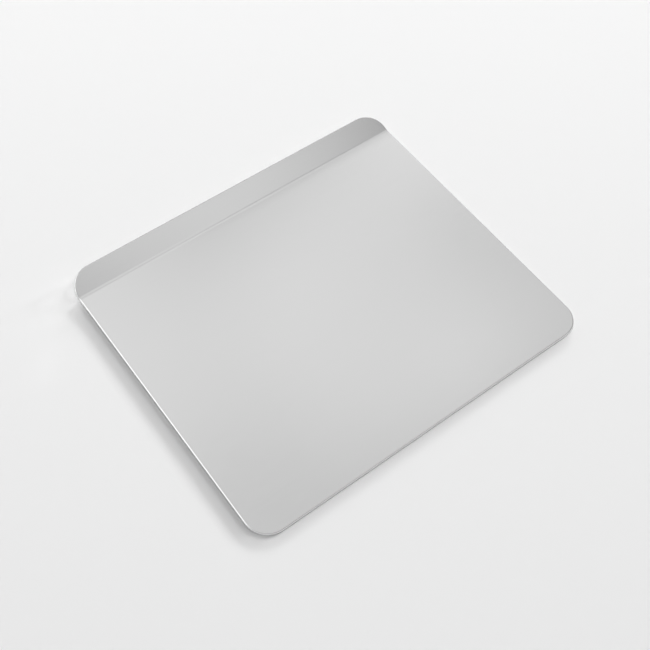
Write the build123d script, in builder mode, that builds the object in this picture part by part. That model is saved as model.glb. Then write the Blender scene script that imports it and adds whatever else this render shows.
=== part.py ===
"""Cookie sheet of bonded three-ply plate with one shallow handle flange.

Two thin skins of stainless steel hold a thicker core of aluminium between them. The plies are bonded over their
whole area, cut to one rounded outline and bent up together along one long side. The other three sides stay flat,
so that biscuits slide off.

X runs along the flange, Y from the front edge to the flange, Z up. The origin is on the underside, in the middle
of the sheet as seen from above. Lengths are in millimetres and angles in degrees.
"""
from build123d import *
import os
from math import cos, radians, sin

os.makedirs("parts", exist_ok=True)

# Size of the whole sheet, seen from above
sheet_width = 406.4
sheet_depth = 355.6

# Plies, from the face that carries the food to the face that lies on the rack
cooking_face_thickness = 0.4
core_thickness = 2.0
base_face_thickness = 0.4

# Handle flange: its flat length beyond the bend, its slope, and the inner radius of the bend
flange_length = 26.0
flange_angle = 20.0
bend_radius = 15.0

# Corners of the blank, the most of the flange's length that a corner may take, and the rounding of the
# trimmed edge, with the most of a skin's thickness that it may take
corner_radius = 25.4
flange_corner_share = 0.98
edge_rounding = 0.3
skin_rounding_share = 0.75

# Each face of the sheet and each joint between plies is an arc about one bend axis, at its own radius
core_top_radius = bend_radius + cooking_face_thickness
core_bottom_radius = core_top_radius + core_thickness
underside_radius = core_bottom_radius + base_face_thickness

# The underside of the flat lies at zero height, and the lip of the underside reaches furthest back
slope = radians(flange_angle)
front_y = -sheet_depth / 2
bend_y = sheet_depth / 2 - flange_length * cos(slope) - underside_radius * sin(slope)
bend_axis_z = underside_radius

# The corners are the same all round, unless the flange is too short for them
flange_corner_radius = min(corner_radius, flange_corner_share * flange_length)

# A ply's flat, bend and flange each have an upper and a lower face, broader than any face of the cut edge
broad_face_count = 6


def on_arc(radius, angle):
    """Point on an arc about the bend axis, at an angle from where the flat ends."""
    return (bend_y + radius * sin(angle), bend_axis_z - radius * cos(angle))


def lip(radius):
    """End of the flange on the face that has this radius in the bend."""
    start_y, start_z = on_arc(radius, slope)
    return (start_y + flange_length * cos(slope), start_z + flange_length * sin(slope))


def ply_section(upper_radius, lower_radius):
    """Side view of one ply: the flat, the bend and the flange, between its two faces."""
    with BuildSketch(Plane.YZ) as section:
        with BuildLine():
            for radius in (upper_radius, lower_radius):
                Line((front_y, bend_axis_z - radius), on_arc(radius, 0))
                ThreePointArc(on_arc(radius, 0), on_arc(radius, slope / 2), on_arc(radius, slope))
                Line(on_arc(radius, slope), lip(radius))
            Line((front_y, bend_axis_z - upper_radius), (front_y, bend_axis_z - lower_radius))
            Line(lip(upper_radius), lip(lower_radius))
        make_face()
    return section.sketch


def front_corners(ply):
    """Upright edges at the two ends of the front edge."""
    return ply.edges().filter_by(Axis.Z)


def flange_corners(ply):
    """Edges across the plate at the two ends of the flange's lip."""
    return ply.edges().filter_by(Axis((0, 0, 0), (0, -sin(slope), cos(slope))))


def trimmed_edge(ply, side):
    """Outline of the ply's upper face (side 1) or lower face (side -1), without the seams at the bend."""
    broad_faces = ply.faces().sort_by(SortBy.AREA)[-broad_face_count:]
    edges = broad_faces.filter_by(lambda face: side * face.normal_at(face.center()).Z > 0).edges()
    return edges.filter_by(lambda edge: sum(edge.is_same(other) for other in edges) == 1)


# Cooking face: the stainless skin that carries the food
with BuildPart() as cooking_face:
    extrude(ply_section(bend_radius, core_top_radius), amount=sheet_width / 2, both=True)
    fillet(front_corners(cooking_face), radius=corner_radius)
    fillet(flange_corners(cooking_face), radius=flange_corner_radius)
    food_side_rounding = min(edge_rounding, skin_rounding_share * cooking_face_thickness)
    fillet(trimmed_edge(cooking_face, 1), radius=food_side_rounding)

# Aluminium core: the thick ply that spreads the heat, flush with the skins at the cut edge
with BuildPart() as aluminium_core:
    extrude(ply_section(core_top_radius, core_bottom_radius), amount=sheet_width / 2, both=True)
    fillet(front_corners(aluminium_core), radius=corner_radius)
    fillet(flange_corners(aluminium_core), radius=flange_corner_radius)

# Base face: the stainless skin that lies on the rack
with BuildPart() as base_face:
    extrude(ply_section(core_bottom_radius, underside_radius), amount=sheet_width / 2, both=True)
    fillet(front_corners(base_face), radius=corner_radius)
    fillet(flange_corners(base_face), radius=flange_corner_radius)
    rack_side_rounding = min(edge_rounding, skin_rounding_share * base_face_thickness)
    fillet(trimmed_edge(base_face, -1), radius=rack_side_rounding)

cooking_face.part.label = "cooking_face"
aluminium_core.part.label = "aluminium_core"
base_face.part.label = "base_face"

export_step(cooking_face.part, "parts/cooking_face.step")
export_step(aluminium_core.part, "parts/aluminium_core.step")
export_step(base_face.part, "parts/base_face.step")
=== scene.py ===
# %% [markdown]
# # A cookie sheet of satin three-ply plate
#
# The real object is one flat plate made of three bonded metals: a stainless skin to bake on, a thicker
# aluminium core that spreads the heat, and a second stainless skin underneath. One long side is bent up a
# little as a handle. With so little to look at, everything depends on three things: a clean outline, a
# believable satin finish, and light that shows both. This lesson builds the plies as fine meshes, gives
# each metal its finish, and sets up a small pale studio.

from math import acos, asin, cos, hypot, pi, radians, sin

import bpy
from mathutils import Matrix, Vector


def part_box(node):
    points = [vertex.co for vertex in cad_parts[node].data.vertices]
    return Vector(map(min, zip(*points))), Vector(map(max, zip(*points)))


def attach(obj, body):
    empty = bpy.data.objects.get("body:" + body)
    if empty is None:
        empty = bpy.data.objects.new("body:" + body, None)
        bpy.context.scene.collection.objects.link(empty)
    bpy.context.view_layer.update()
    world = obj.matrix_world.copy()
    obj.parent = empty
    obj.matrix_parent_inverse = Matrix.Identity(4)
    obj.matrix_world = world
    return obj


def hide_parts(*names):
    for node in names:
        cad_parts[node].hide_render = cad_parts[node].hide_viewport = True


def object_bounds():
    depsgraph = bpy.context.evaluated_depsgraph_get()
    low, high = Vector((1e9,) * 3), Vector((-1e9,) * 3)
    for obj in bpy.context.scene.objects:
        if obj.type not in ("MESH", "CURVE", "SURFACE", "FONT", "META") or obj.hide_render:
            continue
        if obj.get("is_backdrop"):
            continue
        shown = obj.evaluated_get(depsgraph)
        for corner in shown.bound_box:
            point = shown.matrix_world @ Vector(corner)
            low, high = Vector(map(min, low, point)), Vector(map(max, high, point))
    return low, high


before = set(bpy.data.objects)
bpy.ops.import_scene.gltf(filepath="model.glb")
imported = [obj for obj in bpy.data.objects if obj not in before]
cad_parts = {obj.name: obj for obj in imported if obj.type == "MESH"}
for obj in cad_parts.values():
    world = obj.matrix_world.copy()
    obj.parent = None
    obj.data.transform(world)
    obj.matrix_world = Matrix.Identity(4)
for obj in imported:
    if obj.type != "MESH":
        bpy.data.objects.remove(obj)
cad_low, cad_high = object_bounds()


def in_mm(lengths, digits=2):
    """Lengths in millimetres, rounded for printing."""
    return [round(1000 * length, digits) for length in lengths]


print("CAD box in mm:", in_mm(cad_high - cad_low))

# %% [markdown]
# ## Sizes
#
# The solids already have the right size, so the lengths that a box can show are measured on them: the width
# of the sheet, where its front edge lies, and how thick each ply is, from where its flat part lies above
# the one below. The top skin, the bend, the flange and the corners can't be read from a box, so they are
# named here once.

# %% Measure the plies and name the rest
base_low, base_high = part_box("base_face")
core_low, core_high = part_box("aluminium_core")
face_low, face_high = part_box("cooking_face")

sheet_width = base_high.x - base_low.x
front_y = base_low.y
base_thickness = core_low.z - base_low.z
core_thickness = face_low.z - core_low.z
face_thickness = 0.0004
plate_thickness = base_thickness + core_thickness + face_thickness

corner_radius = 0.0254
bend_radius = 0.015
flange_length = 0.026
flange_slope = radians(20)

print("width and plies in mm:", in_mm((sheet_width, base_thickness, core_thickness, face_thickness)))

# %% [markdown]
# ## From a flat blank to a folded sheet
#
# A press shop cuts the blank flat and bends it afterwards. Modelling it in the same order keeps everything
# simple: a point is first placed on the flat blank, by how far along the sheet it is (its station), how far
# across, and how deep below the baking face. One function then folds it. The stations of the bend turn
# about the bend's axis, and the stations of the flange go straight on along its slope.

# %% Fold a point of the flat blank
underside_radius = bend_radius + plate_thickness
bend_y = -front_y - flange_length * cos(flange_slope) - underside_radius * sin(flange_slope)
bend_axis_z = base_low.z + underside_radius

bend_station = bend_y - front_y
flange_station = bend_station + bend_radius * flange_slope
lip_station = flange_station + flange_length


def bend_angle(station):
    """How far the sheet has turned up at a station, from 0 on the flat to the flange's slope."""
    return min(max((station - bend_station) / bend_radius, 0), flange_slope)


def fold(across, station, depth):
    """Place of a point of the blank on the bent sheet."""
    angle = bend_angle(station)
    radius = bend_radius + depth
    before_bend = min(station - bend_station, 0)
    past_bend = max(station - flange_station, 0)
    y = bend_y + before_bend + radius * sin(angle) + past_bend * cos(angle)
    z = bend_axis_z - radius * cos(angle) + past_bend * sin(angle)
    return Vector((across, y, z))


def fold_direction(direction, station):
    """A direction on the blank (across, along, up), turned as the sheet is at that station."""
    return Matrix.Rotation(bend_angle(station), 3, "X") @ Vector(direction)


lip = fold(0, lip_station, 0)
print("height of the sharp lip here, and of the rounded lip in the CAD, in mm:", in_mm((lip.z, face_high.z)))

# %% [markdown]
# ## The outline as rows
#
# The blank is a rectangle with four equal round corners. If it were one big n-gon, it would shade badly and
# couldn't bend. Instead it is made of rows, from the front edge to the lip. Each row knows its station and
# its half width, and near a corner the half width follows the arc. The same rows drawn a little further in
# give the loops that round off the cut edge, so all loops have the same number of points and join with
# plain quads.

# %% Rows of the blank
corner_steps = 28
flat_steps = 16
bend_steps = 16
inner_steps = 20
side_columns = (0, 0.0008, 0.002, 0.006)


def evenly(start, end, steps):
    """Evenly spaced values from start to end, both included."""
    return [start + (end - start) * step / steps for step in range(steps + 1)]


def blank_rows(inset):
    """Station and half width of each row of the outline, drawn inwards by inset."""
    centre_across = sheet_width / 2 - corner_radius
    arc = corner_radius - inset
    flat = (corner_radius, bend_station, flat_steps)
    bend = (bend_station, flange_station, bend_steps)
    quarter = evenly(0, pi / 2, corner_steps)

    rows = [(corner_radius - arc * cos(turn), centre_across + arc * sin(turn)) for turn in quarter]
    for stretch in (flat, bend):
        rows.extend((station, sheet_width / 2 - inset) for station in evenly(*stretch)[1:])
    back_centre = lip_station - corner_radius
    rows.extend((back_centre + arc * sin(turn), centre_across + arc * cos(turn)) for turn in quarter)
    return rows


def across_places(half_width):
    """Places across a row: close together beside the two edges, even between them."""
    left = [column - half_width for column in side_columns]
    right = [-across for across in reversed(left)]
    inner = evenly(left[-1], right[0], inner_steps)[1:-1]
    return left + inner + right


print("rows:", len(blank_rows(0)), " points across a row:", len(across_places(sheet_width / 2)))

# %% [markdown]
# ## The outline as a loop
#
# The rim that closes a ply needs the same outline once more, now as one loop that runs round the sheet.
# Each point also knows which way is outwards there. On a straight side that is square to the side, and on a
# corner it points away from the corner's centre. Round edges get their shading from this direction.

# %% Loop round the blank


def outline(inset):
    """The outline as one loop of (across, station, outward direction), anticlockwise from the front left."""
    rows = blank_rows(inset)
    right = []
    for station, half_width in rows:
        along = min(station - corner_radius, 0) + max(station - lip_station + corner_radius, 0)
        outward = Vector((half_width - sheet_width / 2 + corner_radius, along, 0)).normalized()
        right.append((half_width, station, outward))
    left = [(-across, station, Vector((-outward.x, outward.y, 0))) for across, station, outward in right]

    (front_station, front_width), (back_station, back_width) = rows[0], rows[-1]
    front = [(across, front_station, Vector((0, -1, 0))) for across in across_places(front_width)[1:-1]]
    back = [(-across, back_station, Vector((0, 1, 0))) for across in across_places(back_width)[1:-1]]
    return front + right + back + left[::-1]


print("points round the edge:", len(outline(0)))

# %% [markdown]
# ## The cut edge of the plate
#
# On the real sheet the three metals are sheared in one cut, and the edge is then tumbled until it is safe
# to hold. That rounds the arris towards the baking face most, and wears the soft aluminium back a hair
# between the two harder skins. The arris is what catches the light as a bright line, so it is real geometry
# here and not a bump. One function gives the shape of the whole edge, and each ply takes its own stretch of
# it.

# %% Shape of the edge at a depth
upper_arris = 0.0015
lower_arris = 0.0005
core_wear = 0.00003
arris_steps = 5
least_gap = 0.00001


def edge_at(depth):
    """How far the edge is set in at a depth, and its tilt, from 0 facing up to pi facing down."""
    above = upper_arris - depth
    below = depth - (plate_thickness - lower_arris)
    if above > 0:
        tilt = acos(min(above / upper_arris, 1))
        return upper_arris * (1 - sin(tilt)), tilt
    if below > 0:
        tilt = pi / 2 + asin(min(below / lower_arris, 1))
        return lower_arris * (1 - sin(tilt)), tilt
    return 0, pi / 2


def ply_edge(upper_depth, lower_depth, wear):
    """Inset, depth and tilt of each loop round one ply's edge, from its upper to its lower face."""
    turns = evenly(0, pi / 2, arris_steps)
    depths = [upper_arris * (1 - cos(turn)) for turn in turns]
    depths += [plate_thickness - lower_arris * (1 - sin(turn)) for turn in turns]
    depths = [depth for depth in depths if upper_depth + least_gap < depth < lower_depth - least_gap]
    loops = []
    for depth in [upper_depth] + depths + [lower_depth]:
        inset, tilt = edge_at(depth)
        loops.append((inset + wear, depth, tilt))
    return loops


print("inset of the edge in mm at the baking face and below the top skin:",
      in_mm(edge_at(depth)[0] for depth in (0, face_thickness)))

# %% [markdown]
# ## Grids and rims
#
# A ply is closed by three surfaces: an upper and a lower face, both grids over the rows, and a rim that
# joins them loop by loop. Blender's solidify and bevel modifiers could thicken and round a single sheet,
# but here they would have to guess at the bend. Plain lists of points leave nothing to guess, and every ply
# gets the same grid.

# %% Number the points of a ply


def face_grid(points, inset, depth):
    """Adds the points of an upper or lower face, and returns their numbers row by row."""
    grid = []
    for station, half_width in blank_rows(inset):
        places = across_places(half_width)
        grid.append(list(range(len(points), len(points) + len(places))))
        points.extend((across, station, depth) for across in places)
    return grid


def grid_rim(grid):
    """Numbers of a grid's outer points, in the order of outline()."""
    right = [row[-1] for row in grid]
    left = [row[0] for row in grid]
    return grid[0][1:-1] + right + grid[-1][-2:0:-1] + left[::-1]


def rim_loops(points, upper, lower, edge):
    """Adds the points between two faces, and returns every loop's numbers, from the upper face down."""
    loops = [grid_rim(upper)]
    for inset, depth, tilt in edge[1:-1]:
        loops.append(list(range(len(points), len(points) + len(loops[0]))))
        points.extend((across, station, depth) for across, station, outward in outline(inset))
    return loops + [grid_rim(lower)]


print("points on one face of a ply:", sum(len(row) for row in face_grid([], 0, 0)))

# %% [markdown]
# ## Quads with exact normals
#
# The shading normals are written from the formula as well, because averaged ones would smear the flat where
# it meets the bend. A face's normal is straight up or down on the blank and turns with the fold. Round the
# edge it swings outwards by the tilt of the edge's shape.

# %% Join the points


def face_quads(points, grid, up):
    """Quads of an upper (1) or a lower (-1) face, and a normal for each of their corners."""
    quads, normals = [], []
    for near, far in zip(grid, grid[1:]):
        for column in range(len(near) - 1):
            quad = [near[column], near[column + 1], far[column + 1], far[column]][::up]
            quads.append(quad)
            normals.extend(fold_direction((0, 0, up), points[corner][1]) for corner in quad)
    return quads, normals


def rim_quads(points, loops, edge):
    """Quads between the loops round the edge, and a normal for each of their corners."""
    outwards = [outward for across, station, outward in outline(0)]
    up = Vector((0, 0, 1))
    quads, normals = [], []
    for level in range(len(loops) - 1):
        for here in range(len(outwards)):
            after = (here + 1) % len(outwards)
            corners = ((level, here), (level + 1, here), (level + 1, after), (level, after))
            quads.append([loops[row][place] for row, place in corners])
            for row, place in corners:
                tilt = edge[row][2]
                direction = outwards[place] * sin(tilt) + up * cos(tilt)
                normals.append(fold_direction(direction, points[loops[row][place]][1]))
    return quads, normals


flange_normal = fold_direction((0, 0, 1), lip_station)
print("normal of the baking face on the flange:", [round(share, 3) for share in flange_normal])

# %% [markdown]
# ## One ply as a closed mesh
#
# Now the pieces come together, first on the blank and then folded point by point. Each point also keeps two
# measures: its distance from the cut edge, and how far along the sheet it lies from where the bend starts. A
# finish can read them and change there, whatever way the sheet lies; the second one places the painted shade
# along the bend.

# %% Fold a ply


def edge_distance(across, station):
    """How far a point of the blank lies inside the outline."""
    over_side = abs(across) - sheet_width / 2 + corner_radius
    over_end = abs(station - lip_station / 2) - lip_station / 2 + corner_radius
    if over_side > 0 and over_end > 0:
        return corner_radius - hypot(over_side, over_end)
    return corner_radius - max(over_side, over_end)


def ply_mesh(name, upper_depth, lower_depth, wear=0):
    """A folded ply: two faces and the rim between them, with a normal for every corner of every quad."""
    points = []
    edge = ply_edge(upper_depth, lower_depth, wear)
    upper = face_grid(points, edge[0][0], upper_depth)
    lower = face_grid(points, edge[-1][0], lower_depth)
    loops = rim_loops(points, upper, lower, edge)

    faces, normals = [], []
    surfaces = (face_quads(points, upper, 1), face_quads(points, lower, -1), rim_quads(points, loops, edge))
    for quads, quad_normals in surfaces:
        faces.extend(quads)
        normals.extend(quad_normals)

    mesh = bpy.data.meshes.new(name)
    mesh.from_pydata([fold(*point) for point in points], [], faces)
    mesh.polygons.foreach_set("use_smooth", [True] * len(faces))
    mesh.normals_split_custom_set(normals)
    measures = {
        "edge_distance": [edge_distance(across, station) for across, station, depth in points],
        "after_bend": [station - bend_station for across, station, depth in points],
    }
    for label, lengths in measures.items():
        mesh.attributes.new(label, "FLOAT", "POINT").data.foreach_set("value", lengths)

    piece = bpy.data.objects.new(name, mesh)
    bpy.context.scene.collection.objects.link(piece)
    print(name, "points", len(points), "faces", len(faces))
    return piece


middle_distance = edge_distance(0, lip_station / 2)
print("middle of the sheet from the cut edge in mm:", in_mm([middle_distance]))

# %% [markdown]
# ## The three plies
#
# The baking face, the core and the base face lie on each other without a gap, as bonded metals do. Each
# stands for the solid of the same ply and rides on the object's only body. Its finish is given further down.

# %% Build the plies and let them stand for the solids
core_depth = face_thickness
base_depth = face_thickness + core_thickness

satin_face = ply_mesh("satin_face", 0, core_depth)
heat_core = ply_mesh("heat_core", core_depth, base_depth, wear=core_wear)
rack_face = ply_mesh("rack_face", base_depth, plate_thickness)

for piece, node, slot in (
    (satin_face, "cooking_face", "satin_steel"),
    (heat_core, "aluminium_core", "core_aluminium"),
    (rack_face, "base_face", "base_steel"),
):
    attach(piece, "root")
    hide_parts(node)

# %% [markdown]
# ## Trees of nodes
#
# Materials and the world are both trees of nodes. They could be wired by hand in the shader editor, but a
# script that says each link in full is hard to read. These three helpers add a node with its inputs already
# plugged in, in whichever tree they are given, so that a finish reads as a list of what it is made of.

# %% Helpers that wire nodes


def set_inputs(tree, node, inputs):
    """Sets a node's inputs, each to a value or to another node's output."""
    for key, value in inputs.items():
        if isinstance(value, bpy.types.NodeSocket):
            tree.links.new(value, node.inputs[key])
        else:
            node.inputs[key].default_value = value


def node_maker(tree):
    """A function that adds a node to this tree."""
    def add(kind, inputs=None, **settings):
        node = tree.nodes.new(kind)
        for key, value in settings.items():
            setattr(node, key, value)
        set_inputs(tree, node, inputs or {})
        return node

    return add


def new_finish(name):
    """A new material. Returns the material, its maker of nodes and its shader."""
    material = bpy.data.materials.new(name)
    material.use_nodes = True
    return material, node_maker(material.node_tree), material.node_tree.nodes["Principled BSDF"]


print("materials before the finishes are mixed:", len(bpy.data.materials))

# %% [markdown]
# ## Layers of a finish
#
# Worked metal is a few faint patterns on top of each other. Each one is noise, stretched along the rolling
# direction where a tool has drawn it out, and mapped to a gentle range. Object coordinates are in metres on
# every ply, so a scale of 1000 is a grain of about a millimetre, and no picture has to be unwrapped.

# %% Helpers that make layers


def grain(add, stretch, scale, detail=2, roughness=0.5):
    """Noise in object space, with its coordinates squeezed along X, Y and Z by stretch."""
    place = add("ShaderNodeTexCoord")
    squeeze = add("ShaderNodeMapping", {"Vector": place.outputs["Object"], "Scale": stretch})
    noise = add("ShaderNodeTexNoise", {
        "Vector": squeeze.outputs["Vector"], "Scale": scale, "Detail": detail, "Roughness": roughness,
    })
    return noise.outputs["Fac"]


def ranged(add, value, low, high, start=0.3, end=0.7, **settings):
    """Maps a value from start..end to low..high, clamped. Noise lies mostly between 0.3 and 0.7."""
    node = add("ShaderNodeMapRange", {
        "Value": value, "From Min": start, "From Max": end, "To Min": low, "To Max": high,
    }, **settings)
    return node.outputs["Result"]


def combined(add, first, second, operation="ADD"):
    """Two values in one math node, which adds them unless it is told otherwise."""
    return add("ShaderNodeMath", {0: first, 1: second}, operation=operation).outputs["Value"]


def layered(add, *layers):
    """The sum of several layers, each given as a value and the range that it is mapped to."""
    total = ranged(add, *layers[0])
    for layer in layers[1:]:
        total = combined(add, total, ranged(add, *layer))
    return total


def relief(add, layer, strength, depth):
    """Normals of a surface that a layer lifts by up to a depth in metres."""
    return add("ShaderNodeBump", {"Height": layer, "Strength": strength, "Distance": depth}).outputs["Normal"]


def greys(add, value, dark, light):
    """A colour between two, by a value from 0 to 1."""
    node = add("ShaderNodeMix", {"Factor": value, "A": (*dark, 1), "B": (*light, 1)}, data_type="RGBA")
    return node.outputs["Result"]


helpers = (grain, ranged, combined, layered, relief, greys)
print("helpers for the layers:", ", ".join(helper.__name__ for helper in helpers))

# %% [markdown]
# ## Satin baking face
#
# The baking face of such a sheet is brushed very finely and then passed through a soft wheel, so from a
# metre away it is an even pale satin. Its reflections are blurred but not lost: the handle shows as a soft
# darker band and the studio as slow changes of tone. Close to, it has hair-fine strokes along the sheet, a
# slow cloudiness where the wheel pressed more or less, and a slightly polished cut edge. Each of these is
# one layer with its real size, and none of them is strong.

# %% Layers of the satin
no_stretch = (1, 1, 1)
cloud_scale = 14
stroke_stretch, stroke_scale = (0.012, 1, 1), 3600
group_stretch, group_scale = (0.05, 1, 1), 300
polished_width = 0.0014

satin_steel, add, shader = new_finish("satin_steel")
cloud = grain(add, no_stretch, cloud_scale)
strokes = grain(add, stroke_stretch, stroke_scale, detail=3, roughness=0.6)
stroke_groups = grain(add, group_stretch, group_scale)
rim = add("ShaderNodeAttribute", attribute_name="edge_distance").outputs["Fac"]
print("satin stroke and polished edge in mm:", in_mm((1 / stroke_scale, polished_width)))

# %% [markdown]
# ## Painted shade along the bend
#
# Along the start of the bend the satin is painted a little darker, mostly on the right, as painted shade for
# the dark band along the bend. It could be painted on a picture, but then it would need unwrapping. Here the
# mesh already knows how far each point lies from the bend, so the painted shade is a curve over that length:
# it grows slowly towards the bend, stops soon after it, and fades out across the sheet.

# %% Paint shade along the bend
# Where the painted shade along the bend starts, peaks and ends, and how far across it fades in, in metres
shade_start, shade_peak, shade_end = -0.014, 0.0008, 0.0034
shade_reach = 0.09

after_bend = add("ShaderNodeAttribute", attribute_name="after_bend").outputs["Fac"]
# Painted shade: the satin made darker along the start of the bend, mostly on the right
painted_bend_shade = combined(add, ranged(add, after_bend, 0, 1, shade_start, shade_peak), 2, "POWER")
painted_bend_shade = combined(add, painted_bend_shade, ranged(add, after_bend, 1, 0, shade_peak, shade_end), "MULTIPLY")
across = add("ShaderNodeSeparateXYZ", {"Vector": add("ShaderNodeTexCoord").outputs["Object"]}).outputs["X"]
painted_bend_shade = combined(add, painted_bend_shade, ranged(add, across, 0, 1, -shade_reach, shade_reach), "MULTIPLY")
# The press mark in this print is the painted shade along the bend
print("press mark from the start of the bend in mm:", in_mm((shade_start, shade_end)))

# %% [markdown]
# ## Mixing the satin
#
# The layers are added up to one tone, which picks a grey between two close ones. The same layers move the
# roughness a little, since a deeper stroke also blurs more, and the strokes alone lift the surface as a
# bump of a few thousandths of a millimetre.

# %% Mix the satin steel
darker_satin, paler_satin = (0.53, 0.53, 0.53), (0.65, 0.65, 0.65)
stroke_tones, cloud_tones, group_tones = (0.54, 0.74), (0, 0.06), (0, 0.04)
bend_shade_tones, rim_tones = (0, -0.6), (0.25, 0)
cloud_blur, stroke_blur, rim_blur = (-0.006, 0.006), (-0.02, 0.02), (0.16, 0.22)
stroke_strength, stroke_depth = 0.3, 0.000005

# The tone below includes the painted shade along the bend
tone = layered(
    add, (strokes, *stroke_tones), (cloud, *cloud_tones), (stroke_groups, *group_tones),
    (painted_bend_shade, *bend_shade_tones, 0, 1), (rim, *rim_tones, 0, polished_width),
)
rough = layered(
    add, (cloud, *cloud_blur), (strokes, *stroke_blur), (rim, *rim_blur, 0, polished_width),
)
set_inputs(satin_steel.node_tree, shader, {
    "Base Color": greys(add, tone, darker_satin, paler_satin), "Metallic": 1,
    "Roughness": rough, "Normal": relief(add, strokes, stroke_strength, stroke_depth),
})
satin_face.data.materials.append(satin_steel)
print("satin steel nodes:", len(satin_steel.node_tree.nodes))

# %% [markdown]
# ## Aluminium core, seen only at the cut edge
#
# Between the two skins runs a line of bare aluminium, a little whiter and duller than the steel. It has
# been sheared and ground, which leaves fine marks down the thickness and a rougher surface. The band is
# only two millimetres high, so noise that is squeezed across it is enough for the marks, with a second one
# for smudges.

# %% Mix the cut aluminium
darker_cut, paler_cut = (0.77, 0.775, 0.78), (0.87, 0.87, 0.875)
shear_stretch, shear_scale = (1, 1, 0.15), 700
smudge_scale = 60
shear_tones, smudge_tones, shear_blur = (0, 0.6), (0, 0.4), (0.4, 0.52)
shear_strength, shear_depth = 0.5, 0.00006

cut_aluminium, add, shader = new_finish("cut_aluminium")
shear_marks = grain(add, shear_stretch, shear_scale, detail=3)
smudges = grain(add, no_stretch, smudge_scale)
tone = layered(add, (shear_marks, *shear_tones), (smudges, *smudge_tones))
set_inputs(cut_aluminium.node_tree, shader, {
    "Base Color": greys(add, tone, darker_cut, paler_cut), "Metallic": 1,
    "Roughness": ranged(add, shear_marks, *shear_blur),
    "Normal": relief(add, shear_marks, shear_strength, shear_depth),
})
heat_core.data.materials.append(cut_aluminium)
print("cut aluminium nodes:", len(cut_aluminium.node_tree.nodes))

# %% [markdown]
# ## Brushed base face
#
# The underside gets no soft wheel, only the belt, so its strokes are longer, deeper and easier to see. They
# gather in slow bands, and the cut edge is polished as on the other side. It could be the satin with other
# numbers, but as a finish of its own it can be changed without touching the baking face.

# %% Mix the brushed base steel
darker_base, paler_base = (0.52, 0.52, 0.52), (0.62, 0.62, 0.62)
belt_stretch, belt_scale = (0.015, 1, 1), 650
band_stretch, band_scale = (0.05, 1, 1), 70
belt_tones, band_tones, base_rim_tones = (0, 0.6), (0, 0.3), (0.3, 0)
belt_blur, band_blur = (0.3, 0.4), (-0.02, 0.02)
base_polished_width = 0.0012
belt_strength, belt_depth = 0.3, 0.00003

base_steel, add, shader = new_finish("base_steel")
belt_strokes = grain(add, belt_stretch, belt_scale, detail=5, roughness=0.65)
belt_bands = grain(add, band_stretch, band_scale)
rim = add("ShaderNodeAttribute", attribute_name="edge_distance").outputs["Fac"]
tone = layered(
    add, (belt_strokes, *belt_tones), (belt_bands, *band_tones),
    (rim, *base_rim_tones, 0, base_polished_width),
)
rough = layered(add, (belt_strokes, *belt_blur), (belt_bands, *band_blur))
set_inputs(base_steel.node_tree, shader, {
    "Base Color": greys(add, tone, darker_base, paler_base), "Metallic": 1,
    "Roughness": rough, "Normal": relief(add, belt_strokes, belt_strength, belt_depth),
})
rack_face.data.materials.append(base_steel)
print("base steel nodes:", len(base_steel.node_tree.nodes))

# %% [markdown]
# ## Camera
#
# A product photograph of a flat sheet is taken from high up on one side, so that the outline reads and the
# handle side still shows its slope. The camera is described as a photographer would: which way it looks,
# how steeply down, how far from the spot it aims at, and how much it was rolled. It could be pushed about
# by hand until the view looks right, but named like this, one value can be corrected without the others.

# %% Place the camera
picture_width = 650
focal_pixels = 1045.12
sensor_width = 36
looking_towards = radians(38.865)
looking_down = radians(57.831)
camera_roll = radians(2.618)
camera_distance = 1.0705
aim_across, aim_from_front = -0.0157, 0.1546

forward = Vector((
    sin(looking_towards) * cos(looking_down),
    cos(looking_towards) * cos(looking_down),
    -sin(looking_down),
))
level = Vector((cos(looking_towards), -sin(looking_towards), 0))
upward = level.cross(forward)
camera_right = level * cos(camera_roll) + upward * sin(camera_roll)
camera_up = upward * cos(camera_roll) - level * sin(camera_roll)
aim = Vector((aim_across, front_y + aim_from_front, plate_thickness))

camera_data = bpy.data.cameras.new("camera")
camera_data.sensor_width = sensor_width
camera_data.lens = sensor_width * focal_pixels / picture_width
camera = bpy.data.objects.new("camera", camera_data)
facing = Matrix((camera_right, camera_up, -forward)).transposed().to_4x4()
camera.matrix_world = Matrix.Translation(aim - forward * camera_distance) @ facing
bpy.context.scene.collection.objects.link(camera)
bpy.context.scene.camera = camera
print("camera at", [round(length, 3) for length in camera.location], "lens", round(camera_data.lens, 1), "mm")

# %% [markdown]
# ## Floor
#
# The sheet lies on a wide plain paper. Its colour is a pale grey that gets a little paler towards the back
# of the studio, as paper does when it sweeps up towards the light. That change is in the colour, so the
# lamps needn't be uneven for it. It follows one fixed heading over the floor, from the sheet's front left
# towards its back right. Far out at the other end the paper turns pale again, so that it ends pale on every
# side.

# %% Lay the floor
floor_reach = 12.0
sweep_heading = radians(35.773)
near_tone, far_tone = 0.793, 0.967
near_place, far_place = -0.45, 0.65
rise_again, pale_again = -0.9, -3.5
paper_roughness = 0.9

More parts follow.
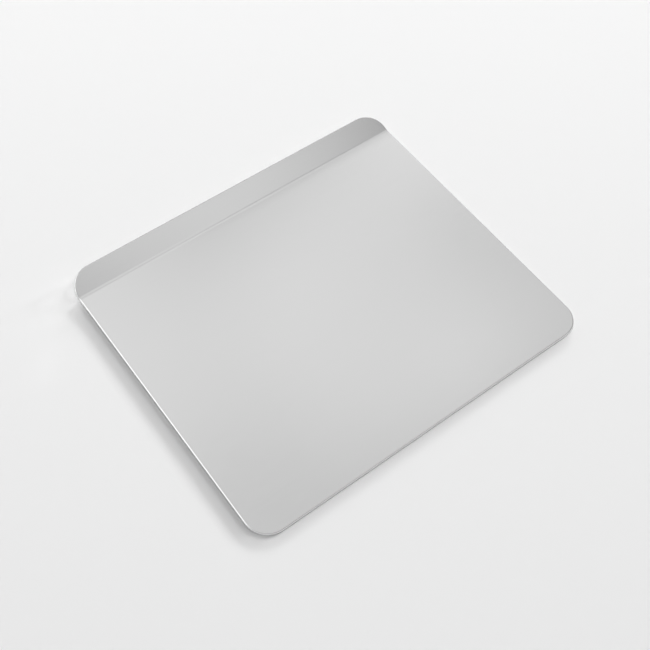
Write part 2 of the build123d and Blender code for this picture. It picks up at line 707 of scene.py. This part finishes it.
floor_corners = [(-floor_reach, -floor_reach, 0), (floor_reach, -floor_reach, 0),
                 (floor_reach, floor_reach, 0), (-floor_reach, floor_reach, 0)]
floor_mesh = bpy.data.meshes.new("studio_floor")
floor_mesh.from_pydata(floor_corners, [], [(0, 1, 2, 3)])
studio_floor = bpy.data.objects.new("studio_floor", floor_mesh)
bpy.context.scene.collection.objects.link(studio_floor)
studio_floor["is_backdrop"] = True

paper, add, shader = new_finish("paper")
heading = Vector((sin(sweep_heading), cos(sweep_heading), 0))
place = add("ShaderNodeTexCoord").outputs["Object"]
along_sweep = add("ShaderNodeVectorMath", {0: place, 1: heading}, operation="DOT_PRODUCT").outputs["Value"]
rise = ranged(add, along_sweep, 0, 1, near_place, far_place)
second_rise = ranged(add, along_sweep, 0, 1, rise_again, pale_again)
sweep = combined(add, rise, second_rise, "MAXIMUM")
set_inputs(paper.node_tree, shader, {
    "Base Color": greys(add, sweep, [near_tone] * 3, [far_tone] * 3),
    "Roughness": paper_roughness, "Specular IOR Level": 0,
})
floor_mesh.materials.append(paper)
print("floor tones from", near_tone, "to", far_tone, "along", [round(share, 2) for share in heading])

# %% [markdown]
# ## Panels over the studio
#
# Metal has hardly any colour of its own: it looks like what stands around it. For so small an object the
# room can be painted into the world instead of being built. A direction is carried up to a ceiling one
# metre above, and each panel there is a rectangle with soft edges. This cell makes the tools for it.

# %% Tools for the panels
lowest_height = 0.05

studio = bpy.data.worlds.new("studio")
studio.use_nodes = True
bpy.context.scene.world = studio
add = node_maker(studio.node_tree)

direction = add("ShaderNodeTexCoord").outputs["Generated"]
height = add("ShaderNodeSeparateXYZ", {"Vector": direction}).outputs["Z"]
stretch = combined(add, 1, combined(add, height, lowest_height, "MAXIMUM"), "DIVIDE")
carried = add("ShaderNodeVectorMath", {0: direction, "Scale": stretch}, operation="SCALE")
ceiling_place = carried.outputs["Vector"]


def panel_share(centre, half_size, turn, softness):
    """How much of a panel is seen in a direction, from 0 outside it to 1 well inside."""
    own_place = add("ShaderNodeMapping", {
        "Vector": ceiling_place, "Location": (*centre, 0), "Rotation": (0, 0, turn),
    }, vector_type="TEXTURE").outputs["Vector"]
    from_middle = add("ShaderNodeVectorMath", {0: own_place}, operation="ABSOLUTE").outputs["Vector"]
    sides = add("ShaderNodeSeparateXYZ", {"Vector": from_middle}).outputs
    shares = []
    for side, reach in zip(("X", "Y"), half_size):
        edge = (reach - softness, reach + softness)
        shares.append(ranged(add, sides[side], 1, 0, *edge, interpolation_type="SMOOTHSTEP"))
    return combined(add, *shares, "MULTIPLY")


print("lowest direction carried to the ceiling, as a height:", lowest_height)

# %% [markdown]
# ## Soft boxes and flags
#
# This studio has a dimmer ceiling with a dark canopy, soft boxes under it, and two flags, boards that hold
# light back. Together they give the satin its slow changes of tone. One long box low on the left does
# nothing for the flat, but the rounded edge there turns far enough to catch it as a bright line.

# %% Hang the panels
ceiling_tone = 0.85

# Strength, centre, half size, turn in radians and softness of the edges, in metres on the ceiling
canopy = (-0.417, (0.75, 0.45), (1.15, 1.5), 0.3, 0.35)
rim_box = (1.2, (-1.3, 0.9), (1.1, 0.45), -0.35, 0.2)
soft_boxes = (
    (0.74, (0.632, -0.412), (0.171, 0.878), 0.713, 0.147),
    (0.775, (1.066, 1.107), (1.696, 0.347), 0.364, 0.113),
    (0.922, (0.473, 0.509), (0.229, 0.128), 1.199, 0.075),
    (0.577, (0.807, 0.562), (0.38, 0.281), 0.471, 0.066),
)
flags = (
    (0.538, (0.488, 0.895), (0.174, 0.483), 0.126, 0.109),
    (0.824, (0.77, -0.136), (0.337, 0.157), 0.714, 0.06),
)

overhead = ceiling_tone
panels = (canopy, rim_box, *soft_boxes)
for strength, *shape in panels:
    given = combined(add, panel_share(*shape), strength, "MULTIPLY")
    overhead = combined(add, overhead, given)
for strength, *shape in flags:
    held_back = combined(add, panel_share(*shape), strength, "MULTIPLY")
    overhead = combined(add, overhead, combined(add, 1, held_back, "SUBTRACT"), "MULTIPLY")
print("panels:", len(panels), "flags:", len(flags))

# %% [markdown]
# ## Walls, backdrop and the even light
#
# Below the ceiling come plain pale walls. Only reflections see this room. What the camera sees behind the
# paper is a plain pale backdrop, and the even light that the room spreads over the floor is set on its own.
# The light path node tells these rays apart, so none of the three has to be a compromise.

# %% Paint the surroundings
backdrop_tone = 0.95
wall_tone = 0.88
wall_top, ceiling_start = 0.12, 0.36
spread_light = 0.2


def either(factor, first, second):
    """The first value where the factor is 0 and the second where it is 1."""
    mix = add("ShaderNodeMix", {"Factor": factor, "A": first, "B": second}, data_type="FLOAT")
    return mix.outputs["Result"]


is_ceiling = ranged(add, height, 0, 1, wall_top, ceiling_start, interpolation_type="SMOOTHSTEP")
room = either(is_ceiling, wall_tone, overhead)
ray = add("ShaderNodeLightPath").outputs
is_reflection = combined(add, ray["Is Glossy Ray"], ray["Is Transmission Ray"], "MAXIMUM")
light = either(ray["Is Camera Ray"], either(is_reflection, spread_light, room), backdrop_tone)
set_inputs(studio.node_tree, studio.node_tree.nodes["Background"], {"Color": (1, 1, 1, 1), "Strength": light})
print("walls", wall_tone, "ceiling", ceiling_tone, "backdrop", backdrop_tone)
print("nodes of the world:", len(studio.node_tree.nodes))

# %% [markdown]
# ## Suns for the floor
#
# The paper needs light of its own, and it must show the sheet's shadow. A broad lamp straight above gives
# the general light. The shadow of so thin a plate is only as wide as the light is low, so a fan of soft
# suns just above the floor makes its wide faint part, and three softer ones higher up make the dark part
# beside the edge. On satin metal such lamps would show as glare from other sides, so they are linked to the
# floor alone: the sheet blocks them but isn't lit by them. A lamp's power is worked out from the level that
# it gives a white floor, where 1 is white.

# %% Hang the suns
floor_only = bpy.data.collections.new("floor_only")
floor_only.objects.link(studio_floor)


def floor_lamp(name, kind):
    """A lamp that lights the floor alone. Returns the lamp and the object that holds it."""
    lamp = bpy.data.lights.new(name, kind)
    holder = bpy.data.objects.new(name, lamp)
    holder.light_linking.receiver_collection = floor_only
    bpy.context.scene.collection.objects.link(holder)
    return lamp, holder


def floor_sun(name, towards, height_angle, softness, level_on_floor):
    """A soft sun in a compass direction from +X, that lights a white floor to a given level on its own."""
    towards, height_angle = radians(towards), radians(height_angle)
    level_share = cos(height_angle)
    light_from = Vector((cos(towards) * level_share, sin(towards) * level_share, sin(height_angle)))
    sun, holder = floor_lamp(name, "SUN")
    sun.angle = radians(2 * softness)
    sun.energy = level_on_floor * pi / sin(height_angle)
    holder.rotation_euler = (-light_from).to_track_quat("-Z", "Y").to_euler()


# Compass direction and height in degrees, softness in degrees, and level on the floor
suns = (
    ("overhead_sun", 0, 90, 30, 0.155),
    ("edge_sun_1", 50, 45, 8, 0.08),
    ("edge_sun_2", 8.7, 24, 8, 0.175),
    ("edge_sun_3", 5, 19, 5, 0.03),
    ("side_sun_1", 2, 9.2, 5, 0.033),
    ("side_sun_2", 44, 9.2, 5, 0.033),
    ("side_sun_3", 86, 9.2, 5, 0.025),
    ("low_sun_1", -1.4, 7.9, 2.5, 0.053),
    ("low_sun_2", 9, 7.9, 2.5, 0.053),
    ("low_sun_3", 19.4, 7.9, 2.5, 0.053),
    ("low_sun_4", 29.8, 7.9, 2.5, 0.053),
    ("low_sun_5", 40.2, 7.9, 2.5, 0.053),
)
for row in suns:
    floor_sun(*row)
floor_level = spread_light + sum(row[-1] for row in suns)
print("suns:", len(suns), "level of a white floor, with the even light:", round(floor_level, 3))

# %% [markdown]
# ## Fill lamps beside the handle
#
# The raised end of the handle would throw the low suns' shadow much further than the flat does. A
# photographer lightens such a spot with a small lamp or a card held close to it. A few narrow lamps just
# over the paper do that here, and one does the same round the front left corner. The camera doesn't see
# them.

# %% Fill the handle's shadow
fill_width = 0.002


def floor_fill(name, place, length, turn, level_below):
    """A small lamp close over the floor, which lights a white floor right below it to a given level."""
    strip, holder = floor_lamp(name, "AREA")
    strip.shape = "RECTANGLE"
    strip.size = length
    strip.size_y = fill_width
    strip.energy = level_below * (pi * place[2]) ** 2
    holder.location = place
    holder.rotation_euler = (0, 0, turn)
    holder.visible_camera = False


# Place, length and turn in metres and radians, and level on the floor
fills = (
    ("handle_fill_1", (-0.205, 0.158, 0.0098), 0.03, 1.41, 0.46),
    ("handle_fill_2", (-0.2162, 0.1647, 0.0116), 0.04, 0, 0.297),
    ("handle_fill_3", (-0.2417, 0.1556, 0.0203), 0.047, -0.66, 0.112),
    ("handle_fill_4", (-0.2445, 0.1219, 0.0144), 0.102, 0.705, 0.158),
    ("corner_fill", (-0.2034, -0.1705, 0.0102), 0.03, -0.61, 0.25),
)
for row in fills:
    floor_fill(*row)
print("fill lamps:", len(fills), "at heights in mm", in_mm(row[1][2] for row in fills))

# %% [markdown]
# ## Finish
#
# Colours are shown as they are, without a film curve.

# %% Show colours plainly and note the sizes
bpy.context.scene.view_settings.view_transform = "Standard"

model_low, model_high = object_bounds()
print("visual box in mm:", in_mm(model_high - model_low))
